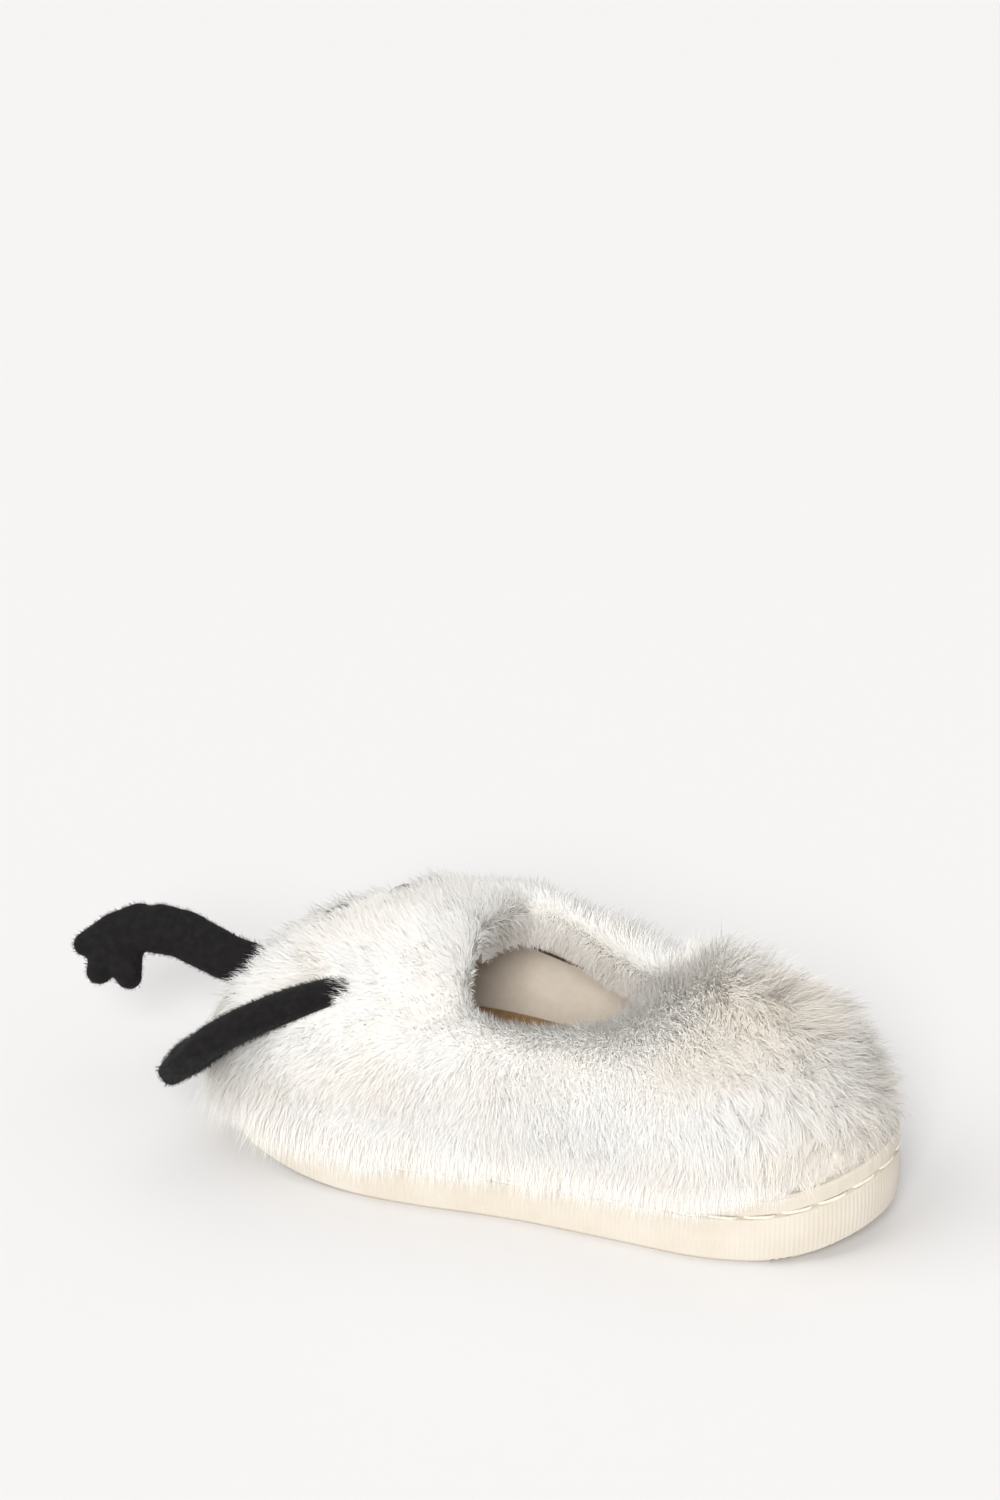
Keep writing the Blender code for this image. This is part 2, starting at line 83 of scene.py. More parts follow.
# Half widths of the sole as shares of BALL_WIDTH, before the ellipse that rounds both ends
OUTLINE = (
    ("turn", "medial", "lateral"),
    (0.0, 0.645, 0.645),
    (0.1, 0.632, 0.630),
    (0.2, 0.602, 0.578),
    (0.3, 0.547, 0.508),
    (0.4, 0.468, 0.452),
    (0.5, 0.444, 0.466),
    (0.6, 0.503, 0.538),
    (0.7, 0.570, 0.590),
    (0.8, 0.609, 0.592),
    (0.9, 0.603, 0.577),
    (1.0, 0.560, 0.560),
)

# Collar rim: along as shares of COLLAR_LENGTH, across of COLLAR_WIDTH, height of THROAT_HEIGHT
RIM = {
    "medial": (
        ("turn", "along", "across", "height"),
        (0.00, 0.000, -0.02, 0.905),
        (0.12, 0.005, 0.07, 0.890),
        (0.25, 0.090, 0.17, 0.840),
        (0.38, 0.310, 0.31, 0.790),
        (0.50, 0.620, 0.47, 0.770),
        (0.60, 0.840, 0.53, 0.780),
        (0.70, 1.000, 0.44, 0.835),
        (0.80, 1.060, 0.30, 0.910),
        (0.90, 1.080, 0.16, 0.970),
        (1.00, 1.075, 0.03, 1.000),
    ),
    "lateral": (
        ("turn", "along", "across", "height"),
        (0.00, 0.000, -0.02, 0.905),
        (0.12, 0.005, -0.10, 0.900),
        (0.25, 0.090, -0.18, 0.835),
        (0.38, 0.320, -0.30, 0.805),
        (0.50, 0.630, -0.42, 0.865),
        (0.60, 0.850, -0.47, 0.935),
        (0.70, 0.985, -0.42, 0.960),
        (0.80, 1.045, -0.28, 0.980),
        (0.90, 1.070, -0.12, 0.995),
        (1.00, 1.075, 0.03, 1.000),
    ),
}

# How the wall climbs: lean is the power of the climb, bulges are shares of PLUSH_BULGE
PROFILE = (
    ("turn", "lean", "medial", "lateral"),
    (0.00, 1.85, 0.00, 0.00),
    (0.12, 1.75, 0.05, 0.05),
    (0.25, 1.45, 0.35, 0.35),
    (0.38, 1.10, 0.85, 0.80),
    (0.50, 1.00, 1.00, 1.00),
    (0.57, 1.00, 0.72, 0.85),
    (0.65, 1.00, 1.10, 1.10),
    (0.80, 1.05, 0.90, 0.90),
    (1.00, 1.40, 0.90, 0.90),
)

# Arm from its root: along and across as shares of ARM_LENGTH, half width of ARM_WIDTH
ARM_SHAFT = (
    ("along", "across", "half_width"),
    (0.00, 0.000, 0.47),
    (0.21, -0.015, 0.50),
    (0.47, 0.000, 0.53),
    (0.64, -0.030, 0.55),
    (0.76, -0.095, 0.50),
    (0.82, -0.150, 0.36),
)
HAND = (
    ("along", "across", "radius"),
    (0.785, -0.150, 0.58),
    (0.930, -0.230, 0.26),
    (0.812, -0.325, 0.27),
    (0.655, -0.290, 0.27),
)
ARMS = {
    "arm_medial": {"root": (0.7756, 0.3211, 0.7769), "heading": 17.7, "pitch": -17.0,
                   "roll": 25.0, "droop": 24.6},
    "arm_lateral": {"root": (0.9428, 0.0066, 0.6062), "heading": -8.0, "pitch": 9.4,
                    "roll": 121.0, "droop": 0.0},
}

# Plush
PILE_LENGTH = 0.0072
FOLD_DEPTH = 0.0050
STRAND_WIDTH = 0.00011
FINGER_STEPS = 5
ARM_FULLNESS = (0.80, 1.02, 1.14, 1.18, 1.14, 1.0)
HAND_FULLNESS = 1.10
STRAND_TWIST = 0.45
UNDERCOAT = 0.25
UNDERCOAT_LENGTH = 0.72
UNDERCOAT_WIDTH = 2.2
FRINGE_STRANDS = 3000
FRINGE_LENGTHS = (0.0035, 0.0060)
FRINGE_RADIUS = 0.011
FRINGE_BEHIND = 0.008
FRINGE_AHEAD = 0.001
NAP_STRANDS = 7000
NAP_LENGTH = 0.0011
NAP_WIDTH = 0.00012
HEM_STRANDS = 36000
HEM_RISE = 0.0060
HEM_DROP = 0.0062
HEM_TOE_DROP = 0.0070
CLIMB_LOW = -0.25
CLIMB_TOP = 0.92
ROLL_HEIGHT = 0.0036
FAR_FOLD = 0.0035
LINING_START = 0.004
LINING_HANG = 0.012
SEAM_DROP = 0.0070
SEAM_RADIUS = 0.00045
RIM_SETTLE = 0.0030
WRIST = (0.700, -0.050, 0.50)
ARM_STARTS = {"arm_medial": -0.08, "arm_lateral": -0.16}
FRINGE_STARTS = {"arm_medial": -0.07, "arm_lateral": -0.13}
CLEAR_STARTS = {"arm_medial": -0.07, "arm_lateral": 0.06}

# How wide the pile is pushed aside round each eye
EYES = {"eye_medial": 0.0022, "eye_lateral": 0.0048}

# Sewing of the arms
SEW_VOXEL = 0.0007
PUFF_PRESSURE = 3.0
PUFF_FRAMES = 20
PUFF_LIMIT = 0.0006
ARM_SEAM_WIDTH = 0.00042
ARM_SEAM_DEPTH = 0.00045

# Sole
RIB_PITCH = 0.0012
RIB_POINTS = 4
RIB_SKIN = 0.00006
RIB_DEPTH = 0.00016
RIB_FADE = 0.12
STITCH_PITCH = 0.0093
STITCH_GAP = 0.0005
THREAD_RADIUS = 0.00042

# Strands as (share of the length, share of the width), from root to tip
FINE_STEPS = ((0.0, 0.9), (0.5, 1.0), (1.0, 0.0))
TUFT_STEPS = ((0.0, 0.8), (0.4, 1.0), (0.75, 0.75), (1.0, 0.0))

# Camera: where it stands in the part's frame, and its turn and tilt in degrees
CAMERA_AT = (-0.279, 0.873, 0.530)
CAMERA_TURN = 21.5
CAMERA_TILT = 24.0
CAMERA_LENS = 100
CAMERA_SENSOR = 36

# Light: the world's strength, and each sun's strength, spread in degrees and place
WORLD_STRENGTH = 0.50
SUNS = {
    "key": (1.00, 50, (0.55, 0.36, 0.76)),
    "front": (2.35, 22, (-0.20, 0.84, 0.50)),
    "fill": (0.35, 60, (0.05, -0.45, 0.89)),
}

# Counts
AROUND = 288
SKIN_ROWS = 40
ROLL_ROWS = 6
FOLD_ROWS = 8
LINING_ROWS = 14
WALL_STEPS = 80
INSOLE_ROWS = 26


# Form of the part, for whole arrays of angles and climbs
def smooth_value(table, name, at):
    """Values of a column on a smooth curve through its rows, read at each turn."""
    keys = np.array([row[0] for row in table[1:]])
    index = table[0].index(name)
    values = np.array([row[index] for row in table[1:]])
    last = len(keys) - 1
    low = np.maximum(np.arange(last + 1) - 1, 0)
    high = np.minimum(np.arange(last + 1) + 1, last)
    slopes = (values[high] - values[low]) / (keys[high] - keys[low])
    at = np.clip(at, keys[0], keys[-1])
    span = np.clip(np.searchsorted(keys, at) - 1, 0, last - 1)
    width = keys[span + 1] - keys[span]
    share = (at - keys[span]) / width
    square = share ** 2
    cube = share ** 3
    return ((2 * cube - 3 * square + 1) * values[span]
            + (cube - 2 * square + share) * width * slopes[span]
            + (3 * square - 2 * cube) * values[span + 1]
            + (cube - square) * width * slopes[span + 1])


def on_side(tables, name, angle):
    """Values for angles round the foot, from the medial or the lateral table."""
    angle = angle % (2 * math.pi)
    medial = smooth_value(tables[0], name[0], angle / math.pi)
    lateral = smooth_value(tables[1], name[1], 2 - angle / math.pi)
    return np.where(angle <= math.pi, medial, lateral)


def turn_of(angle):
    angle = angle % (2 * math.pi)
    return np.where(angle <= math.pi, angle / math.pi, 2 - angle / math.pi)


def unit(vectors):
    return vectors / np.maximum(np.linalg.norm(vectors, axis=-1, keepdims=True), 1e-12)


def edge(angle):
    """Outline of the sole, from its back end."""
    turn = turn_of(angle)
    fullness = on_side((OUTLINE, OUTLINE), ("medial", "lateral"), angle)
    sign = np.where(angle % (2 * math.pi) <= math.pi, 1, -1)
    along = LENGTH * (1 - np.cos(math.pi * turn)) / 2
    across = sign * fullness * BALL_WIDTH * np.sin(math.pi * turn)
    return np.stack((along, across, np.zeros_like(along)), -1)


def edge_normal(angle):
    step = math.pi / 72
    run = edge(angle + step) - edge(angle - step)
    return unit(np.stack((-run[..., 1], run[..., 0], np.zeros_like(run[..., 0])), -1))


def ground(along):
    toe = np.maximum(0.0, along - (LENGTH - TOE_SPRING_LENGTH)) / TOE_SPRING_LENGTH
    heel = np.maximum(0.0, HEEL_BEVEL_LENGTH - along) / HEEL_BEVEL_LENGTH
    return TOE_SPRING * toe ** 2 + HEEL_BEVEL * heel ** 2


def lip_top(along):
    share = np.clip(along / LENGTH, 0.0, 1.0)
    return ground(along) + HEEL_WALL + (TOE_WALL - HEEL_WALL) * (1 - (1 - share) ** 2)


def rim(angle):
    medial, lateral = RIM["medial"], RIM["lateral"]
    along = COLLAR_BACK + COLLAR_LENGTH * on_side((medial, lateral), ("along", "along"), angle)
    across = COLLAR_WIDTH * on_side((medial, lateral), ("across", "across"), angle)
    height = THROAT_HEIGHT * on_side((medial, lateral), ("height", "height"), angle)
    return np.stack((along, across, height), -1)


def upper(angle, climb):
    """Outside of the upper's fabric."""
    foot = edge(angle) - edge_normal(angle) * (LIP_THICKNESS + GAP)
    foot[..., 2] = lip_top(edge(angle)[..., 0]) + GAP
    top = rim(angle)
    turn = turn_of(angle)
    lean = smooth_value(PROFILE, "lean", turn)
    bulge = on_side((PROFILE, PROFILE), ("medial", "lateral"), angle) * PLUSH_BULGE
    quarter = np.clip(climb, 0, 1) * math.pi / 2
    point = foot + (top - foot) * (1 - np.cos(quarter))[..., None]
    swell = bulge * np.sin(math.pi * np.clip(climb, 0, 1) ** BULGE_RISE)
    point = point + edge_normal(angle) * swell[..., None]
    point[..., 2] = foot[..., 2] + (top[..., 2] - foot[..., 2]) * np.sin(quarter) ** lean
    point[..., 2] += np.minimum(climb, 0) * SEAT_DEPTH
    return point


def upper_normal(angle, climb):
    step = 0.004
    low = np.clip(climb - step, 0, 1)
    high = np.clip(climb + step, 0, 1)
    run = upper(angle + step, climb) - upper(angle - step, climb)
    rise = upper(angle, high) - upper(angle, low)
    return unit(np.cross(rise, run))


def foot_angles():
    """Even angles round the foot, from the back of the heel over the medial side."""
    return np.linspace(0, 2 * math.pi, AROUND, endpoint=False)


def outline_steps():
    """Fine angles round the sole's outline, and the lengths between them."""
    fine = np.linspace(0, 2 * math.pi, 4001)
    return fine, np.linalg.norm(np.diff(edge(fine), axis=0), axis=-1)


def smooth_step(start, end, value):
    share = np.clip((value - start) / (end - start), 0, 1)
    return share * share * (3 - 2 * share)


def beside_opening(angle):
    """1 along the medial rim, where a hand pulls the slipper on, and 0 elsewhere."""
    turn = turn_of(angle)
    return (angle <= math.pi) * smooth_step(0.28, 0.42, turn) * smooth_step(0.84, 0.66, turn)


def to_part(points):
    """Moves points from the back of the sole to the part's origin."""
    moved = np.array(points, dtype=float)
    moved[..., 0] -= HEEL_REST
    return moved


# Objects and materials
def mesh_object(name, points, faces, smooth=True):
    data = bpy.data.meshes.new(name)
    data.from_pydata(np.asarray(points).tolist(), [], [tuple(map(int, face)) for face in faces])
    if smooth:
        data.shade_smooth()
    item = bpy.data.objects.new(name, data)
    bpy.context.scene.collection.objects.link(item)
    return item


def grid_faces(columns, rows):
    """Quads between the points of a closed grid numbered column by column."""
    column, row = np.meshgrid(np.arange(columns), np.arange(rows - 1), indexing="ij")
    following = (column + 1) % columns
    corners = (following * rows + row, column * rows + row,
               column * rows + row + 1, following * rows + row + 1)
    return np.stack(corners, -1).reshape(-1, 4)


def material(name, colour, roughness, sheen=0.0):
    look = bpy.data.materials.new(name)
    look.use_nodes = True
    shader = look.node_tree.nodes["Principled BSDF"]
    shader.inputs["Base Color"].default_value = (*colour, 1)
    shader.inputs["Roughness"].default_value = roughness
    shader.inputs["Sheen Weight"].default_value = sheen
    return look


def node(look, kind, **values):
    made = look.node_tree.nodes.new(kind)
    for name, value in values.items():
        if name in made.inputs:
            made.inputs[name].default_value = value
        else:
            setattr(made, name, value)
    return made


def link(look, source, target):
    look.node_tree.links.new(source, target)


def noise_colour(look, low, high, scale, start=0.35, end=0.65):
    """Mottled base colour between two tones, in the object's own coordinates."""
    place = node(look, "ShaderNodeTexCoord")
    noise = node(look, "ShaderNodeTexNoise", Scale=scale, Detail=4.0)
    ramp = node(look, "ShaderNodeValToRGB")
    ramp.color_ramp.elements[0].position = start
    ramp.color_ramp.elements[1].position = end
    ramp.color_ramp.elements[0].color = (*low, 1)
    ramp.color_ramp.elements[1].color = (*high, 1)
    link(look, place.outputs["Object"], noise.inputs["Vector"])
    link(look, noise.outputs["Fac"], ramp.inputs["Fac"])
    shader = look.node_tree.nodes["Principled BSDF"]
    link(look, ramp.outputs["Color"], shader.inputs["Base Color"])


def noise_bump(look, scale, strength, distance):
    place = node(look, "ShaderNodeTexCoord")
    noise = node(look, "ShaderNodeTexNoise", Scale=scale, Detail=3.0)
    bump = node(look, "ShaderNodeBump", Strength=strength, Distance=distance)
    link(look, place.outputs["Object"], noise.inputs["Vector"])
    link(look, noise.outputs["Fac"], bump.inputs["Height"])
    link(look, bump.outputs["Normal"], look.node_tree.nodes["Principled BSDF"].inputs["Normal"])


# Plush fabric of the upper
def wall_points(angle, count, start):
    """Points down the inside of the wall, from a depth under the rim to its foot."""
    climbs = np.linspace(1.0, 0.0, WALL_STEPS)
    wall = np.stack([upper(angle, np.full_like(angle, climb))
                     - upper_normal(angle, np.full_like(angle, climb)) * WALL
                     for climb in climbs], 1)
    steps = np.linalg.norm(np.diff(wall, axis=1), axis=-1)
    depth = np.concatenate((np.zeros((len(angle), 1)), np.cumsum(steps, axis=1)), axis=1)
    points = np.zeros((len(angle), count, 3))
    for place in range(len(angle)):
        wanted = np.linspace(start, depth[place, -1], count)
        for axis in range(3):
            points[place, :, axis] = np.interp(wanted, depth[place], wall[place, :, axis])
    return points


def collar_fold(angle):
    """Where the padded collar turns: start of its roll, its edge, and its inner foot."""
    start = settled(angle, CLIMB_TOP)
    rim_edge = settled(angle, 1.0)
    foot = rim_edge.copy()
    foot[:, 2] -= ROLL_HEIGHT + FOLD_DEPTH + FAR_FOLD * (angle > math.pi)
    return start, rim_edge, foot


def settled(angle, climb):
    """Plush surface at one climb, with the medial rim settled by use."""
    point = upper(angle, np.full_like(angle, climb))
    point[:, 2] -= RIM_SETTLE * beside_opening(angle) * smooth_step(0.5, 1.0, climb)
    return point


def plush_grid():
    """Points of the plush fabric: up the outside, over the padded rim and down inside."""
    angle = foot_angles()
    columns = []
    for climb in np.linspace(CLIMB_LOW, CLIMB_TOP, SKIN_ROWS):
        columns.append(settled(angle, climb))
    start, rim_edge, foot = collar_fold(angle)
    turned = rim_edge - np.array((0.0, 0.0, ROLL_HEIGHT))
    for step in range(1, ROLL_ROWS + 1):
        share = step / ROLL_ROWS
        columns.append(start * (1 - share) ** 2 + rim_edge * 2 * share * (1 - share)
                       + turned * share ** 2)
    for step in range(1, FOLD_ROWS + 1):
        share = step / FOLD_ROWS
        columns.append(turned * (1 - share) + foot * share)
    return to_part(np.stack(columns, 1))


def grid_normals(points):
    """Outward normals of a closed grid of columns round the foot."""
    run = np.roll(points, -1, axis=0) - np.roll(points, 1, axis=0)
    rise = np.gradient(points, axis=1)
    return unit(np.cross(rise, run))


def make_plush_skin(points):
    rows = points.shape[1]
    skin = mesh_object("plush_backing", points.reshape(-1, 3), grid_faces(AROUND, rows))
    look = material("plush_backing", (0.94, 0.90, 0.85), 0.9, sheen=0.2)
    noise_colour(look, (0.93, 0.89, 0.83), (0.96, 0.93, 0.885), 160)
    noise_bump(look, 900, 0.4, 0.0004)
    skin.data.materials.append(look)
    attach(skin, "root")
    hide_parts("upper")
    return skin


def fur_materials():
    # Tones of the pile, given at random. The darker two also carry painted shade round the heel,
    # in the lateral inner fold and on the hem
    tones = {
        "fur_white": (0.970, 0.960, 0.935),
        "fur_cream": (0.965, 0.938, 0.890),
        "fur_shade": (0.930, 0.875, 0.795),
    }
    looks = []
    for name, tone in tones.items():
        look = material(name, tone, 0.75, sheen=0.15)
        place = node(look, "ShaderNodeTexCoord")
        noise = node(look, "ShaderNodeTexNoise", Scale=350.0, Detail=2.0)
        spread = node(look, "ShaderNodeMapRange")
        spread.inputs["To Min"].default_value = 0.6
        spread.inputs["To Max"].default_value = 0.85
        link(look, place.outputs["Object"], noise.inputs["Vector"])
        link(look, noise.outputs["Fac"], spread.inputs["Value"])
        shader = look.node_tree.nodes["Principled BSDF"]
        link(look, spread.outputs["Result"], shader.inputs["Roughness"])
        looks.append(look)
    return looks


def field(points, scale, seed):
    """Smooth pseudo-random values from -1 to 1 over points, about one wave per scale."""
    draw = np.random.default_rng(seed)
    total = np.zeros(points.shape[:-1])
    waves = 7
    for _ in range(waves):
        direction = unit(draw.normal(size=3))
        size = scale * draw.uniform(0.7, 1.6)
        phase = draw.uniform(0, 2 * math.pi)
        total += np.sin(points @ direction * 2 * math.pi / size + phase)
    return total / math.sqrt(waves / 2) / 1.6


def sample_grid(grid, cell, across, along):
    """Values between the corners of chosen cells of a grid."""
    column, row = cell
    following = (column + 1) % grid.shape[0]
    a = grid[column, row]
    b = grid[following, row]
    c = grid[following, row + 1]
    d = grid[column, row + 1]
    if grid.ndim == 3:
        across = across[:, None]
        along = along[:, None]
    return ((a * (1 - across) + b * across) * (1 - along)
            + (d * (1 - across) + c * across) * along)


def strand_mesh(name, strands, looks, draw, steps=FINE_STEPS):
    """Joined ribbons: each leaves its root along the normal and bends over to its lean."""
    root, normal, lean = strands["root"], strands["normal"], strands["lean"]
    length, lift = strands["length"][:, None], strands["lift"][:, None]
    count = len(root)
    side = unit(np.cross(lean, normal) + draw.normal(scale=STRAND_TWIST, size=(count, 3)))
    tip = unit(normal * lift + lean * 0.6)
    faces_out = (np.cross(side, tip) * normal).sum(1, keepdims=True) >= 0
    side = side * np.where(faces_out, 1, -1)
    half = strands["width"][:, None] / 2
    rows = []
    for step, share in steps:
        rise = lift * math.sin(step * math.pi / 2)
        reach = np.sqrt(np.maximum(1 - lift ** 2, 0.05)) * step ** 1.5
        point = root + length * (normal * rise + lean * reach + strands["curl"] * step ** 2)
        if share:
            rows.append(point - side * half * share)
            rows.append(point + side * half * share)
        else:
            rows.append(point)
    points = np.stack(rows, 1)
    per = points.shape[1]
    triangles = []
    for low in range(0, per - 3, 2):
        triangles += [(low, low + 1, low + 3), (low, low + 3, low + 2)]
    triangles.append((per - 3, per - 2, per - 1))
    base = np.arange(count)[:, None] * per
    faces = (base[:, None, :] + np.array(triangles)[None]).reshape(-1, 3)
    data = bpy.data.meshes.new(name)
    data.vertices.add(count * per)
    data.vertices.foreach_set("co", points.reshape(-1).astype(np.float32))
    data.loops.add(len(faces) * 3)
    data.loops.foreach_set("vertex_index", faces.reshape(-1).astype(np.int32))
    data.polygons.add(len(faces))
    data.polygons.foreach_set("loop_start", np.arange(len(faces), dtype=np.int32) * 3)
    for look in looks:
        data.materials.append(look)
    tones = np.repeat(strands["tone"], len(triangles)).astype(np.int32)
    data.polygons.foreach_set("material_index", tones)
    data.update()
    data.shade_smooth()
    ribbon = np.cross(side, tip)
    # Shaded mostly as the surface under it, so that the pile reads as one soft mass
    shading = unit(normal * 0.8 + ribbon * 0.10 + draw.normal(scale=0.05, size=(count, 3)))
    data.normals_split_custom_set_from_vertices(np.repeat(shading, per, axis=0).tolist())
    item = bpy.data.objects.new(name, data)
    bpy.context.scene.collection.objects.link(item)
    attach(item, "root")
    return item


def bare_spots():
    """Middles and radii of what stands on the plush and pushes its pile aside."""
    spots = []
    for name in EYES:
        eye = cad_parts[name]
        corners = [eye.matrix_world @ vertex.co for vertex in eye.data.vertices]
        spots.append((np.mean([tuple(corner) for corner in corners], axis=0), EYES[name]))
    for name in ARMS:
        for along in np.linspace(CLEAR_STARTS[name] * ARM_LENGTH, ARM_LENGTH, 16):
            centre = arm_bend(name, np.array(((along, 0.0, 0.0),)))[0]
            spots.append((centre, ARM_WIDTH * 0.46))
    return spots


def pile_fields(points):
    """How the pile lies over the plush grid: which way, how long, how steep, how tufted."""
    angle = foot_angles()
    turn = turn_of(angle)[:, None]
    rows = points.shape[1]
    row = np.arange(rows)[None]
    climb = CLIMB_LOW + (CLIMB_TOP - CLIMB_LOW) * row / (SKIN_ROWS - 1)

    # Where on the slipper
    heel = smooth_step(0.46, 0.10, turn)
    head = smooth_step(0.58, 0.75, turn)
    inside = smooth_step(SKIN_ROWS + 1, SKIN_ROWS + ROLL_ROWS + 2, row)
    crest = np.exp(-((row - SKIN_ROWS - 3) / 4.0) ** 2)
    low = smooth_step(0.30, 0.0, climb)
    near = (angle <= math.pi)[:, None]
    hang = smooth_step(0.20, 0.34, turn) * smooth_step(0.20, 0.0, climb)

    # Which way the pile grows and lies
    normals = grid_normals(points)
    open_up = edge_normal(angle)[:, None] * 0.5 + (0, 0, 1.0)
    normals = unit(normals + open_up * (1.1 * near * np.maximum(crest, inside))[..., None])
    down = unit(-np.gradient(points, axis=1))
    down = down * (1 - 2 * inside)[..., None]
    out = edge_normal(angle)[:, None] + (0, 0, 0.25)
    normals = unit(normals * (1 - low)[..., None] + out * low[..., None])
    down = down * (1 - low)[..., None] + np.array((0, 0, -1.0)) * low[..., None]
    high = smooth_step(0.25, 0.60, climb)
    back = np.array((-1.0, 0.0, -0.25)) * (0.8 * heel * high)[..., None]
    down = unit(down + back)
    swirl = field(points, 0.034, 3) * 0.45 + field(points, 0.012, 4) * 0.35
    swirl = swirl * (1 - 0.7 * hang)
    beside = unit(np.cross(normals, down))
    nap = unit(down * np.cos(swirl)[..., None] + beside * np.sin(swirl)[..., None])

    # How long, steep and tufted it is
    length = PILE_LENGTH * (0.84 + 0.62 * heel - 0.12 * head - 0.20 * inside)
    length = length * (1 + 0.20 * field(points, 0.016, 6))
    length = length * (1 + 0.30 * crest * smooth_step(0.42, 0.24, turn))
    near_lip = smooth_step(0.50, 0.05, climb) * smooth_step(0.34, 0.16, turn)
    length = length * (1 - 0.50 * near_lip)
    length = length * (1 - 0.55 * smooth_step(rows - 6, rows - 1, row))
    near_rim = beside_opening(angle)[:, None] * smooth_step(0.70, 1.0, climb)
    length = length * (1 - 0.38 * near_rim)
    corner = np.exp(-((turn - 0.31) / 0.08) ** 2) * smooth_step(0.55, 0.90, climb)
    corner = corner * np.where(near, 1.0, 0.5)
    length = length * (1 + 0.5 * corner)
    lift = (0.74 - 0.06 * heel - 0.24 * hang + 0.14 * corner + 0.12 * crest * (1 + near)
            - 0.20 * near_lip)
    tufting = 0.07 + 0.74 * heel + 0.08 * crest
    flat = np.zeros((len(angle), rows))

    # Painted light and shade in the pile's tone: darker round the heel and down the lateral inner
    # fold, lighter inside the fold at the medial heel
    painted_light_and_shade = 0.95 * heel + 1.2 * (inside * (~near - 1.1 * heel))
    return {"normal": normals, "lean": nap, "length": flat + length, "lift": flat + lift,
            "tufting": flat + tufting, "climb": flat + climb, "turn": flat + turn,
            "crest": flat + crest, "painted_light_and_shade": flat + painted_light_and_shade}


def cell_areas(points):
    following = np.roll(points, -1, axis=0)
    return np.linalg.norm(np.cross(following[:, :-1] - points[:, :-1],
                                   points[:, 1:] - points[:, :-1]), axis=-1)


def plant(points, fields, spots, weight, count, draw, tuft):
    """Strands drawn over the cells of the plush grid, leaning together in tufts."""
    rows = points.shape[1]
    chance = weight.reshape(-1)
    chosen = draw.choice(len(chance), size=count, p=chance / chance.sum())
    cell = (chosen // (rows - 1), chosen % (rows - 1))
    across, along = draw.random(count), draw.random(count)
    found = {name: sample_grid(grid, cell, across, along) for name, grid in fields.items()}
    root = sample_grid(points, cell, across, along)
    length = found["length"] * draw.uniform(0.68, 1.12, count)
    keep = np.ones(count, dtype=bool)
    for centre, radius in spots:
        far = np.linalg.norm(root - centre, axis=1)
        keep &= far > radius
    root, length = root[keep], length[keep]
    found = {name: grid[keep] for name, grid in found.items()}
    count = len(root)

    under = draw.random(count) < UNDERCOAT
    length = length * np.where(under, UNDERCOAT_LENGTH, 1.0)
    strength = found["tufting"][:, None]
    lean = unit(found["lean"] + draw.normal(scale=0.30, size=(count, 3)))
    lean, pull = gather(root, lean, length, strength, tuft, draw)
    lift = found["lift"] + draw.normal(scale=0.15, size=count)
    # Tone differs at random. Painted light and shade then shift it: darker round the heel and in
    # the lateral inner fold, lighter in the fold inside the medial heel
    shade = field(root, 0.02, 9) * 0.5 + draw.normal(scale=0.5, size=count)
    shade += found["painted_light_and_shade"]
    return {
        "root": root,
        "normal": unit(found["normal"]),
        "lean": lean,
        "length": length,
        "width": (STRAND_WIDTH * draw.uniform(0.75, 1.3, count)
                  * np.where(under, UNDERCOAT_WIDTH, 1.0)),
        "lift": np.clip(lift, 0.15, 0.98),
        "curl": pull + draw.normal(scale=0.07, size=(count, 3)),
        "tone": np.where(shade > 0.9, 2, np.where(shade > 0.1, 1, 0)),
    }


def gather(root, lean, length, strength, tuft, draw):
    """Turns and bends strands towards the middle strand of the tuft they stand in."""
    count = len(root)
    clumps = draw.choice(count, size=max(count // tuft, 1), replace=False)
    tree = KDTree(len(clumps))
    for place, index in enumerate(clumps):
        tree.insert(Vector(root[index]), place)
    tree.balance()
    nearest = np.array([clumps[tree.find(Vector(spot))[1]] for spot in root])
    pull = (root[nearest] - root) / length[:, None] * strength
    return unit(lean * (1 - 0.7 * strength) + lean[nearest] * 0.7 * strength), pull


def make_hem(looks):
    """Pile that bulges over the lip and hangs down in front of the sole's wall."""
    draw = np.random.default_rng(30)
    fine, steps = outline_steps()
    middle = (fine[1:] + fine[:-1]) / 2
    chance = steps * smooth_step(0.20, 0.32, turn_of(middle))
    angle = draw.choice(middle, size=HEM_STRANDS, p=chance / chance.sum())
    turn = turn_of(angle)
    out = edge_normal(angle)
    rise = draw.uniform(0, HEM_RISE, HEM_STRANDS)
    root = edge(angle) + out * draw.uniform(-0.0014, 0.0012, HEM_STRANDS)[:, None]
    root[:, 2] = lip_top(root[:, 0]) + GAP + rise
    root = to_part(root)
    drop = HEM_DROP * smooth_step(0.18, 0.36, turn) + HEM_TOE_DROP * smooth_step(0.55, 0.90, turn)
    length = rise + drop * (1 + 0.14 * field(root, 0.012, 12))
    length = length * draw.uniform(0.74, 1.10, HEM_STRANDS)
    lean = unit(np.array((0.0, 0.0, -1.0)) + draw.normal(scale=0.16, size=(HEM_STRANDS, 3)))
    lean, pull = gather(root, lean, length, 0.30, 14, draw)
    # Tone differs at random, with its thresholds set darker than the pile's as painted shade on
    # the hanging hem
    shade = draw.normal(scale=0.5, size=HEM_STRANDS)
    strands = {
        "root": root,
        "normal": unit(out + (0, 0, 0.1)),
        "lean": lean,
        "length": length,
        "width": STRAND_WIDTH * draw.uniform(0.75, 1.3, HEM_STRANDS),
        "lift": np.clip(draw.normal(0.26, 0.10, HEM_STRANDS), 0.1, 0.6),
        "curl": pull + draw.normal(scale=0.06, size=(HEM_STRANDS, 3)),
        "tone": np.where(shade > 0.55, 2, np.where(shade > -0.25, 1, 0)),
    }
    fur = strand_mesh("fur_hem", strands, looks, draw)


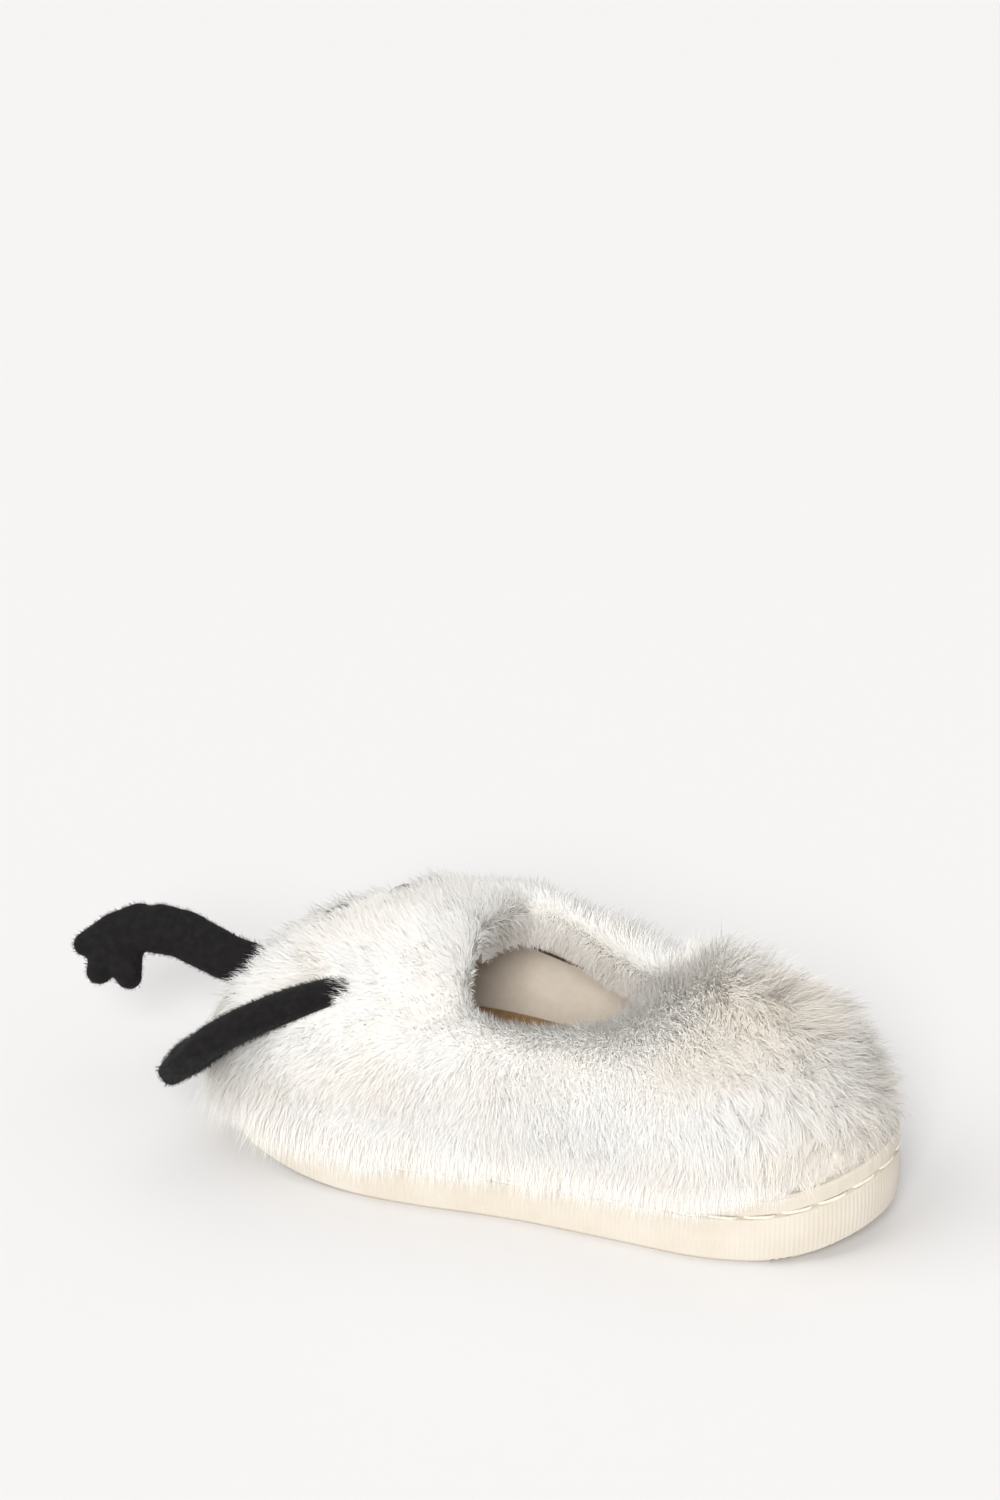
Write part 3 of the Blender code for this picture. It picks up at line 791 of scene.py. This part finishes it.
def make_fur(points, looks):
    """Deep pile over the plush, in pieces round the slipper."""
    fields = pile_fields(points)
    spots = bare_spots()
    climb, turn = fields["climb"][:, :-1], fields["turn"][:, :-1]
    angle = foot_angles()
    side = (angle <= math.pi)[:, None]
    density = cell_areas(points) * (climb > -0.01) * (1 + 1.4 * fields["crest"][:, :-1])
    middle = (turn >= 0.30) & (turn < 0.66)
    # Where, how many strands, how many to a tuft, and their steps
    pieces = {
        "fur_heel": (turn < 0.30, 39000, 80, TUFT_STEPS),
        "fur_inner_side": (middle & side, 60000, 10, FINE_STEPS),
        "fur_outer_side": (middle & ~side, 48000, 10, FINE_STEPS),
        "fur_head": (turn >= 0.66, 60000, 10, FINE_STEPS),
    }
    for number, (name, (here, count, tuft, steps)) in enumerate(pieces.items()):
        draw = np.random.default_rng(20 + number)
        strands = plant(points, fields, spots, density * here, count, draw, tuft)
        fur = strand_mesh(name, strands, looks, draw, steps)


def make_arm_fringes(points, looks):
    """Hairs of the head's pile that lie over the sewn ends of the arms."""
    normals = grid_normals(points)
    for number, name in enumerate(ARMS):
        draw = np.random.default_rng(40 + number)
        forward = arm_axes(name)[1]
        end = arm_bend(name, np.array(((FRINGE_STARTS[name] * ARM_LENGTH, 0.0, 0.0),)))[0]
        root = np.repeat(points.reshape(-1, 3), 40, axis=0)
        normal = np.repeat(normals.reshape(-1, 3), 40, axis=0)
        behind = (root - end) @ forward
        aside = np.linalg.norm(root - end - behind[:, None] * forward, axis=1)
        near = (aside < FRINGE_RADIUS) & (behind > -FRINGE_BEHIND) & (behind < FRINGE_AHEAD)
        root, normal = root[near], normal[near]
        some = draw.choice(len(root), size=min(FRINGE_STRANDS, len(root)), replace=False)
        root, normal = root[some], normal[some]
        count = len(root)
        root = root + draw.normal(scale=0.0006, size=(count, 3)) - normal * 0.0003
        length = draw.uniform(*FRINGE_LENGTHS, count)
        lean = unit(forward + draw.normal(scale=0.30, size=(count, 3)))
        lean, pull = gather(root, lean, length, 0.35, 8, draw)
        strands = {
            "root": root,
            "normal": normal,
            "lean": lean,
            "length": length,
            "width": STRAND_WIDTH * draw.uniform(0.75, 1.3, count),
            "lift": np.clip(draw.normal(0.80, 0.10, count), 0.4, 0.97),
            "curl": pull + draw.normal(scale=0.08, size=(count, 3)),
            "tone": np.zeros(count, dtype=int),
        }
        fur = strand_mesh(name + "_fringe", strands, looks, draw)


# Lining
def make_lining():
    """Lining from the fold's foot to the footbed. Returns the path of its seam."""
    angle = foot_angles()
    wall = wall_points(angle, LINING_ROWS, LINING_START)
    foot = collar_fold(angle)[2]
    share = np.linspace(0, 1, LINING_ROWS)
    hanging = foot[:, None] - share[None, :, None] * (0.0, 0.0, LINING_HANG)
    blend = smooth_step(0, 0.45, share)[None, :, None]
    points = to_part(hanging * (1 - blend) + wall * blend)
    lining = mesh_object("lining", points.reshape(-1, 3), grid_faces(AROUND, LINING_ROWS))
    look = material("lining", (0.88, 0.78, 0.65), 0.85, sheen=0.2)
    noise_colour(look, (0.86, 0.755, 0.625), (0.90, 0.81, 0.69), 420, start=0.3, end=0.7)
    noise_bump(look, 2600, 0.35, 0.0002)
    lining.data.materials.append(look)
    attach(lining, "root")
    seam = foot.copy()
    seam[:, 2] -= SEAM_DROP
    seam = to_part(seam)
    for place in range(AROUND):
        for axis in (0, 1):
            seam[place, axis] = np.interp(seam[place, 2], points[place, ::-1, 2],
                                          points[place, ::-1, axis])
    return seam


def make_lining_seam(path):
    rings = tube(path, SEAM_RADIUS, 6)
    seam = mesh_object("lining_seam", rings.reshape(-1, 3), ring_faces(AROUND, 6))
    seam.data.materials.append(material("lining_seam", (0.10, 0.055, 0.03), 0.8))
    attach(seam, "root")


def tube(path, radius, sides, closed=True):
    """Rings of one radius along a path of points."""
    path = np.asarray(path)
    if closed:
        run = unit(np.roll(path, -1, axis=0) - np.roll(path, 1, axis=0))
    else:
        run = unit(np.gradient(path, axis=0))
    up = np.tile(np.array((0.0, 0.0, 1.0)), (len(path), 1))
    side = unit(np.cross(run, up))
    over = np.cross(side, run)
    turns = np.linspace(0, 2 * math.pi, sides, endpoint=False)
    return path[:, None] + radius * (side[:, None] * np.cos(turns)[None, :, None]
                                     + over[:, None] * np.sin(turns)[None, :, None])


def ring_faces(count, sides, closed=True):
    last = count if closed else count - 1
    faces = []
    for place in range(last):
        following = (place + 1) % count
        for side in range(sides):
            beside = (side + 1) % sides
            faces.append((place * sides + side, place * sides + beside,
                          following * sides + beside, following * sides + side))
    return faces


# Insole
def make_insole():
    """Padded footbed, its raised edge falling in a cup to a lower middle."""
    angle = foot_angles()
    border = edge(angle)
    out = edge_normal(angle)
    seat = lip_top(border[:, 0]) - SEAT_DEPTH + GAP
    rise = INSOLE_THICKNESS + INSOLE_CUP
    walls = wall_points(angle, 60, 0.0)
    inset_at = np.zeros(AROUND)
    for place in range(AROUND):
        heights = walls[place, ::-1, 2]
        insets = ((border[place] - walls[place, ::-1]) * out[place])[:, :2].sum(1)
        inset_at[place] = np.interp(seat[place] + rise, heights, insets)
    start = np.maximum(inset_at + 0.0008, LIP_THICKNESS + WALL + 0.003)
    columns = []
    for share in np.linspace(0, 1, INSOLE_ROWS):
        inset = start + share * INSOLE_CUP_WIDTH
        height = rise - INSOLE_CUP * math.sin(share * math.pi / 2)
        if share == 0:
            low = border - out * (start - 0.0004)[:, None]
            low[:, 2] = seat + rise - 0.003
            columns.append(low)
        point = border - out * inset[:, None]
        point[:, 2] = seat + height
        columns.append(point)
    grid = to_part(np.stack(columns, 1))
    rows = grid.shape[1]
    faces = [tuple(face) for face in grid_faces(AROUND, rows)]
    last = rows - 1
    half = AROUND // 2
    for place in range(half):
        corners = [place, place + 1, -place - 1, -place]
        if place == 0:
            corners = [0, 1, -1]
        if place == half - 1:
            corners = [place, half, -place]
        faces.append(tuple((corner % AROUND) * rows + last for corner in corners))
    pad = mesh_object("footbed", grid.reshape(-1, 3), faces)
    look = material("footbed", (0.36, 0.21, 0.09), 0.9, sheen=0.3)
    noise_colour(look, (0.32, 0.18, 0.07), (0.44, 0.27, 0.12), 700, start=0.3, end=0.7)
    noise_bump(look, 3200, 0.5, 0.0003)
    pad.data.materials.append(look)
    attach(pad, "root")
    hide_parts("insole")


# Sole
def make_sole_ribs():
    """Thin skin of fine upright ribs round the sole's wall, under the stitched groove."""
    fine, steps = outline_steps()
    run = np.concatenate(((0,), np.cumsum(steps)))
    count = int(run[-1] / RIB_PITCH) * RIB_POINTS
    angle = np.interp(np.arange(count) * run[-1] / count, run, fine)
    border = edge(angle)
    out = edge_normal(angle)
    low = ground(border[:, 0])
    top = lip_top(border[:, 0])
    groove_foot = top - GROOVE_DROP - GROOVE_HEIGHT
    wave = 0.5 + 0.5 * np.cos(np.arange(count) / RIB_POINTS * 2 * math.pi)
    columns = []
    levels = np.linspace(0, 1, 9)
    for level in levels:
        height = (low + EDGE_CHAMFER) * (1 - level) + groove_foot * level
        swell = SIDE_SWELL * (1 - abs(2 * level - 1))
        fade = min(1.0, min(level, 1 - level) / RIB_FADE)
        proud = RIB_SKIN + RIB_DEPTH * wave * fade
        point = border + out * (swell + proud)[:, None]
        point[:, 2] = height
        columns.append(point)
    grid = to_part(np.stack(columns, 1))
    ribs = mesh_object("sole_ribs", grid.reshape(-1, 3), grid_faces(count, len(levels)))
    ribs.data.materials.append(rubber("sole_ribs"))
    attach(ribs, "root")


def rubber(name):
    look = material(name, (0.67, 0.61, 0.52), 0.62)
    noise_colour(look, (0.655, 0.59, 0.495), (0.695, 0.64, 0.555), 90, start=0.3, end=0.7)
    noise_bump(look, 1500, 0.12, 0.0002)
    shader = look.node_tree.nodes["Principled BSDF"]
    shader.inputs["Subsurface Weight"].default_value = 0.08
    shader.inputs["Subsurface Radius"].default_value = (0.004, 0.0025, 0.0015)
    return look


def make_stitches():
    """Long stitches of thread lying in the sole's groove."""
    fine, steps = outline_steps()
    run = np.concatenate(((0,), np.cumsum(steps)))
    count = int(run[-1] / STITCH_PITCH)
    pitch = run[-1] / count
    points = []
    faces = []
    sides = 8
    rings = 9
    for number in range(count):
        along = number * pitch + np.linspace(STITCH_GAP, pitch - STITCH_GAP, rings)
        angle = np.interp(along, run, fine)
        border = edge(angle)
        out = edge_normal(angle)
        share = np.linspace(-1, 1, rings)
        bow = np.sqrt(np.maximum(1 - share ** 4, 0.0))
        centre = border - out * (GROOVE_DEPTH - 0.0010 * bow + 0.0001)[:, None]
        centre[:, 2] = (lip_top(border[:, 0]) - GROOVE_DROP - GROOVE_HEIGHT / 2
                        + 0.00012 * np.sin(number * 2.4) + 0.00025 * share)
        rings_here = tube(to_part(centre), THREAD_RADIUS, sides, closed=False)
        start = len(points) * sides
        points.extend(rings_here)
        faces += [tuple(corner + start for corner in face)
                  for face in ring_faces(rings, sides, closed=False)]
        faces.append(tuple(start + side for side in reversed(range(sides))))
        faces.append(tuple(start + (rings - 1) * sides + side for side in range(sides)))
    thread = mesh_object("sole_stitches", np.concatenate(points), faces)
    look = material("sole_thread", (0.82, 0.74, 0.60), 0.7, sheen=0.2)
    noise_colour(look, (0.78, 0.70, 0.56), (0.88, 0.82, 0.70), 1400)
    thread.data.materials.append(look)
    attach(thread, "root")


# Arms
def arm_axes(name):
    place = ARMS[name]
    heading, pitch, roll = (math.radians(place[key]) for key in ("heading", "pitch", "roll"))
    forward = np.array((math.cos(pitch) * math.cos(heading),
                        math.cos(pitch) * math.sin(heading), math.sin(pitch)))
    level = np.array((-math.sin(heading), math.cos(heading), 0.0))
    over = np.cross(forward, level)
    across = level * math.cos(roll) + over * math.sin(roll)
    upward = over * math.cos(roll) - level * math.sin(roll)
    root = np.array(place["root"]) * (LENGTH, BALL_WIDTH, THROAT_HEIGHT)
    return root, forward, across, upward


def arm_bend(name, points):
    """Moves points from the flat arm's own (along, across, out) onto the bent arm."""
    root, forward, side, upward = arm_axes(name)
    along, across, out = points[:, 0], points[:, 1], points[:, 2]
    droop = math.radians(ARMS[name]["droop"])
    bend = max(droop, 1e-6) / ARM_LENGTH
    turn = bend * np.maximum(along, 0.0)
    centre = (root + forward * (np.sin(turn) / bend + np.minimum(along, 0.0))[:, None]
              - upward * ((1 - np.cos(turn)) / bend)[:, None])
    lifted = upward * np.cos(turn)[:, None] + forward * np.sin(turn)[:, None]
    return to_part(centre + side * across[:, None] + lifted * out[:, None])


def flat_arm(name):
    """Closed flat arm with rounded edges, in its own (along, across, out)."""
    mesh = bmesh.new()
    sides = 24
    rings = []
    base = (ARM_STARTS[name], *ARM_SHAFT[1][1:])
    stations = (base, *ARM_SHAFT[1:])
    for (along, across, half_width), full in zip(stations, ARM_FULLNESS):
        ring = []
        for corner in range(sides):
            angle = 2 * math.pi * corner / sides
            ring.append(mesh.verts.new((
                along * ARM_LENGTH,
                across * ARM_LENGTH + half_width * ARM_WIDTH * 0.97 * math.cos(angle),
                ARM_THICKNESS / 2 * full * math.sin(angle))))
        rings.append(ring)
    for lower, upper_ring in zip(rings, rings[1:]):
        for corner in range(sides):
            beside = (corner + 1) % sides
            mesh.faces.new((lower[corner], lower[beside], upper_ring[beside], upper_ring[corner]))
    mesh.faces.new(rings[0])
    mesh.faces.new(rings[-1])
    palm = HAND[1]
    for finger in (*HAND[1:], WRIST):
        for step in np.linspace(0, 1, FINGER_STEPS):
            along, across = (palm[axis] * (1 - step) + finger[axis] * step for axis in (0, 1))
            radius = palm[2] * (1 - step) + finger[2] * step
            thickness = HAND_THICKNESS * (1 - step) + FINGER_THICKNESS * step
            place = Matrix.Translation((along * ARM_LENGTH, across * ARM_LENGTH, 0))
            wide = radius * ARM_WIDTH
            size = (wide, wide, thickness / 2 * HAND_FULLNESS, 1)
            bmesh.ops.create_uvsphere(mesh, u_segments=24, v_segments=14, radius=1.0,
                                      matrix=place @ Matrix.Diagonal(size))
    bmesh.ops.recalc_face_normals(mesh, faces=mesh.faces)
    data = bpy.data.meshes.new(name + "_plush")
    mesh.to_mesh(data)
    mesh.free()
    item = bpy.data.objects.new(name + "_plush", data)
    bpy.context.scene.collection.objects.link(item)
    return item


def vertex_values(data, name):
    """Places or normals of a mesh's vertices."""
    values = np.zeros(len(data.vertices) * 3)
    data.vertices.foreach_get(name, values)
    return values.reshape(-1, 3)


def apply_modifiers(item):
    bpy.context.view_layer.update()
    graph = bpy.context.evaluated_depsgraph_get()
    data = bpy.data.meshes.new_from_object(item.evaluated_get(graph))
    item.modifiers.clear()
    old = item.data
    item.data = data
    bpy.data.meshes.remove(old)


def puff(item, pressure, frames, cap):
    """Inflates a closed sewn piece as cloth and keeps how far each point may move."""
    start = vertex_values(item.data, "co")
    bpy.context.view_layer.objects.active = item
    cloth = item.modifiers.new("cloth", "CLOTH")
    cloth.settings.use_pressure = True
    cloth.settings.uniform_pressure_force = pressure
    cloth.settings.effector_weights.gravity = 0
    cloth.settings.quality = 6
    cloth.settings.tension_stiffness = 12
    cloth.settings.compression_stiffness = 12
    cloth.settings.bending_stiffness = 0.4
    scene = bpy.context.scene
    cloth.point_cache.frame_start = 1
    cloth.point_cache.frame_end = frames
    for step in range(1, frames + 1):
        scene.frame_set(step)
    graph = bpy.context.evaluated_depsgraph_get()
    moved = vertex_values(item.evaluated_get(graph).data, "co")
    item.modifiers.clear()
    scene.frame_set(1)
    shift = moved - start
    far = np.linalg.norm(shift, axis=1, keepdims=True)
    shift = shift * np.minimum(1, cap / np.maximum(far, 1e-9))
    item.data.vertices.foreach_set("co", (start + shift).reshape(-1))
    item.data.update()


def relax(item, factor, count):
    step = item.modifiers.new("relax", "SMOOTH")
    step.factor = factor
    step.iterations = count
    apply_modifiers(item)


def make_arm(name, look, nap_look):
    arm = flat_arm(name)
    merge = arm.modifiers.new("sew", "REMESH")
    merge.mode = "VOXEL"
    merge.voxel_size = SEW_VOXEL
    apply_modifiers(arm)
    relax(arm, 0.5, 2)
    puff(arm, PUFF_PRESSURE, PUFF_FRAMES, PUFF_LIMIT)
    relax(arm, 0.5, 2)
    points = vertex_values(arm.data, "co")
    normals = vertex_values(arm.data, "normal")
    rim_share = np.clip(1 - np.abs(normals[:, 2]) / 0.75, 0, 1)
    seam = np.exp(-(points[:, 2] / ARM_SEAM_WIDTH) ** 2) * rim_share
    points -= normals * (seam * ARM_SEAM_DEPTH)[:, None]
    arm.data.vertices.foreach_set("co", arm_bend(name, points).reshape(-1))
    arm.data.update()
    arm.data.shade_smooth()
    arm.data.materials.append(look)
    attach(arm, "root")
    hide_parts(name)
    make_nap(arm, name, nap_look)


def make_nap(arm, name, look):
    """Short nap over an arm, laid towards the hand."""
    data = arm.data
    points = vertex_values(data, "co")
    normals = vertex_values(data, "normal")
    data.calc_loop_triangles()
    triangles = np.zeros(len(data.loop_triangles) * 3, dtype=np.int32)
    data.loop_triangles.foreach_get("vertices", triangles)
    triangles = triangles.reshape(-1, 3)
    a, b, c = (points[triangles[:, corner]] for corner in range(3))
    area = np.linalg.norm(np.cross(b - a, c - a), axis=1)
    draw = np.random.default_rng(70)
    chosen = draw.choice(len(triangles), size=NAP_STRANDS, p=area / area.sum())
    u = draw.random(NAP_STRANDS)
    v = draw.random(NAP_STRANDS)
    flip = u + v > 1
    u = np.where(flip, 1 - u, u)
    v = np.where(flip, 1 - v, v)
    weights = np.stack((1 - u - v, u, v), 1)
    root = (points[triangles[chosen]] * weights[..., None]).sum(1)
    normal = unit((normals[triangles[chosen]] * weights[..., None]).sum(1))
    forward = arm_axes(name)[1]
    along = forward - normal * (normal @ forward)[:, None]
    lean = unit(along + draw.normal(scale=0.35, size=(NAP_STRANDS, 3)))
    strands = {
        "root": root,
        "normal": normal,
        "lean": lean,
        "length": NAP_LENGTH * draw.uniform(0.6, 1.2, NAP_STRANDS),
        "width": NAP_WIDTH * draw.uniform(0.7, 1.2, NAP_STRANDS),
        "lift": np.clip(draw.normal(0.55, 0.15, NAP_STRANDS), 0.2, 0.9),
        "curl": draw.normal(scale=0.08, size=(NAP_STRANDS, 3)),
        "tone": np.zeros(NAP_STRANDS, dtype=int),
    }
    nap = strand_mesh(name + "_nap", strands, [look], draw)


def dark_plush(name, colour):
    look = material(name, colour, 0.95, sheen=0.035)
    shader = look.node_tree.nodes["Principled BSDF"]
    shader.inputs["Sheen Roughness"].default_value = 0.4
    shader.inputs["Specular IOR Level"].default_value = 0.3
    return look


# Stage
def make_stage():
    corners = [(-4, -6, 0), (6, -6, 0), (6, 4, 0), (-4, 4, 0)]
    floor = mesh_object("floor", corners, [(0, 1, 2, 3)], smooth=False)
    look = material("floor", (0.775, 0.765, 0.760), 0.7)
    noise_bump(look, 60, 0.02, 0.001)
    floor.data.materials.append(look)
    world = bpy.data.worlds.new("studio")
    world.use_nodes = True
    backdrop = world.node_tree.nodes["Background"]
    backdrop.inputs["Color"].default_value = (1.0, 0.995, 0.99, 1)
    backdrop.inputs["Strength"].default_value = WORLD_STRENGTH
    bpy.context.scene.world = world
    for name, (strength, spread, place) in SUNS.items():
        sun = bpy.data.lights.new(name, "SUN")
        sun.energy = strength
        sun.angle = math.radians(spread)
        item = bpy.data.objects.new(name, sun)
        item.rotation_euler = (-Vector(place)).to_track_quat("-Z", "Y").to_euler()
        bpy.context.scene.collection.objects.link(item)


def make_camera():
    data = bpy.data.cameras.new("camera")
    data.lens = CAMERA_LENS
    data.sensor_fit = "VERTICAL"
    data.sensor_height = CAMERA_SENSOR
    data.clip_end = 20
    camera = bpy.data.objects.new("camera", data)
    turn = math.radians(CAMERA_TURN)
    tilt = math.radians(CAMERA_TILT)
    right = Vector((-math.cos(turn), -math.sin(turn), 0))
    level = math.cos(tilt)
    look = Vector((math.sin(turn) * level, -math.cos(turn) * level, -math.sin(tilt)))
    over = right.cross(look)
    axes = Matrix((right, over, -look)).transposed().to_4x4()
    camera.matrix_world = Matrix.Translation(CAMERA_AT) @ axes
    bpy.context.scene.collection.objects.link(camera)
    bpy.context.scene.camera = camera


def dress_nodes():
    """Finish of the solids that stay: the sole and the eyes."""
    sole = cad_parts["outsole"]
    sole.data.materials.clear()
    sole.data.materials.append(rubber("sole"))
    eye_look = material("eye", (0.012, 0.016, 0.028), 0.12)
    shader = eye_look.node_tree.nodes["Principled BSDF"]
    shader.inputs["Coat Weight"].default_value = 0.6
    noise_bump(eye_look, 300, 0.02, 0.0002)
    for name in EYES:
        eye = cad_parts[name]
        eye.data.materials.clear()
        eye.data.materials.append(eye_look)


make_camera()
make_stage()
dress_nodes()
plush = plush_grid()
make_plush_skin(plush)
fur_looks = fur_materials()
make_fur(plush, fur_looks)
make_hem(fur_looks)
make_arm_fringes(plush, fur_looks)
make_lining_seam(make_lining())
make_insole()
make_sole_ribs()
make_stitches()
arm_look = dark_plush("arm_plush", (0.006, 0.005, 0.0055))
noise_colour(arm_look, (0.0045, 0.0038, 0.0042), (0.010, 0.0085, 0.009), 500)
noise_bump(arm_look, 2500, 0.5, 0.0004)
nap_look = dark_plush("arm_nap", (0.008, 0.007, 0.0075))
for arm_name in ARMS:
    make_arm(arm_name, arm_look, nap_look)

view = bpy.context.scene.view_settings
view.view_transform = "Standard"
view.look = "None"
